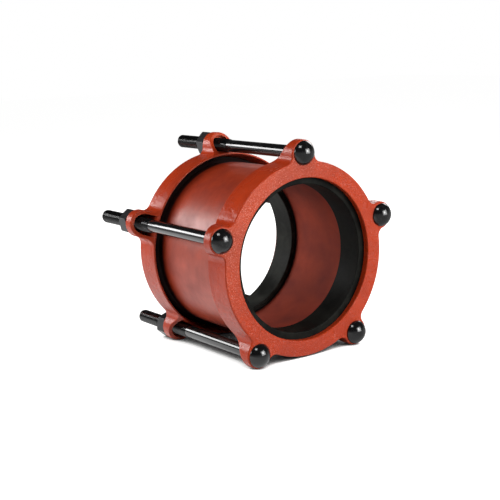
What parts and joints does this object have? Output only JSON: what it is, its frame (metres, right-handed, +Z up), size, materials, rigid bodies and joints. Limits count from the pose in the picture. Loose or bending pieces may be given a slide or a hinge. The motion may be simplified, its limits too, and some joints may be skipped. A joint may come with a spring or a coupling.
{
  "type": "transition coupling",
  "caption": "Bolted pipe coupling that joins the plain ends of two pipes of different outside diameter, with wedge gaskets squeezed between end rings and a sleeve.",
  "frame": {"origin": "middle of the sleeve on the pipe axis", "axes": "Y along the pipe axis with the bolt heads towards -Y and the nuts towards +Y, +Z up through the top bolt"},
  "size_m": [0.2578, 0.257, 0.2465],
  "materials": {
    "red_paint_sleeve": "satin red paint over a casting",
    "red_paint_front_ring": "satin red paint over a casting",
    "red_paint_rear_ring": "satin red paint over a casting",
    "rubber_front": "matte black",
    "rubber_rear": "matte black",
    "bolt_coating": "gloss black coating",
    "nut_coating": "satin black coating"
  },
  "bodies": {
    "sleeve": {"center_sleeve": "red_paint_sleeve"},
    "front_ring": {"front_end_ring": "red_paint_front_ring", "front_gasket": "rubber_front", "bolt_1": "bolt_coating", "bolt_2": "bolt_coating", "bolt_3": "bolt_coating", "bolt_4": "bolt_coating", "bolt_5": "bolt_coating"},
    "rear_ring": {"rear_end_ring": "red_paint_rear_ring", "rear_gasket": "rubber_rear"},
    "nut_1": {"nut_1": "nut_coating"},
    "nut_2": {"nut_2": "nut_coating"},
    "nut_3": {"nut_3": "nut_coating"},
    "nut_4": {"nut_4": "nut_coating"},
    "nut_5": {"nut_5": "nut_coating"}
  },
  "joints": [
    {"name": "front_ring_slide", "type": "slide", "parent": "sleeve", "child": "front_ring", "axis": [0, -1, 0], "range_m": [-0.00289, 0.01154], "deforming": ["front_gasket"]},
    {"name": "rear_ring_slide", "type": "slide", "parent": "sleeve", "child": "rear_ring", "axis": [0, 1, 0], "range_m": [-0.00289, 0.01154], "deforming": ["rear_gasket"]},
    {"name": "nut_1_turn", "type": "hinge", "parent": "rear_ring", "child": "nut_1", "pos_m": [0, 0.09625, 0.11953], "axis": [0, 1, 0], "range_deg": [-900, 3600]},
    {"name": "nut_2_turn", "type": "hinge", "parent": "rear_ring", "child": "nut_2", "pos_m": [0.11368, 0.09625, 0.03694], "axis": [0, 1, 0], "range_deg": [-900, 3600]},
    {"name": "nut_3_turn", "type": "hinge", "parent": "rear_ring", "child": "nut_3", "pos_m": [0.07026, 0.09625, -0.0967], "axis": [0, 1, 0], "range_deg": [-900, 3600]},
    {"name": "nut_4_turn", "type": "hinge", "parent": "rear_ring", "child": "nut_4", "pos_m": [-0.07026, 0.09625, -0.0967], "axis": [0, 1, 0], "range_deg": [-900, 3600]},
    {"name": "nut_5_turn", "type": "hinge", "parent": "rear_ring", "child": "nut_5", "pos_m": [-0.11368, 0.09625, 0.03694], "axis": [0, 1, 0], "range_deg": [-900, 3600]}
  ],
  "couplings": [
    {"joint": "rear_ring_slide", "follows": "front_ring_slide", "ratio": 1},
    {"joint": "nut_1_turn", "follows": "front_ring_slide", "rad_per_m": 5442.2},
    {"joint": "nut_2_turn", "follows": "front_ring_slide", "rad_per_m": 5442.2},
    {"joint": "nut_3_turn", "follows": "front_ring_slide", "rad_per_m": 5442.2},
    {"joint": "nut_4_turn", "follows": "front_ring_slide", "rad_per_m": 5442.2},
    {"joint": "nut_5_turn", "follows": "front_ring_slide", "rad_per_m": 5442.2}
  ]
}
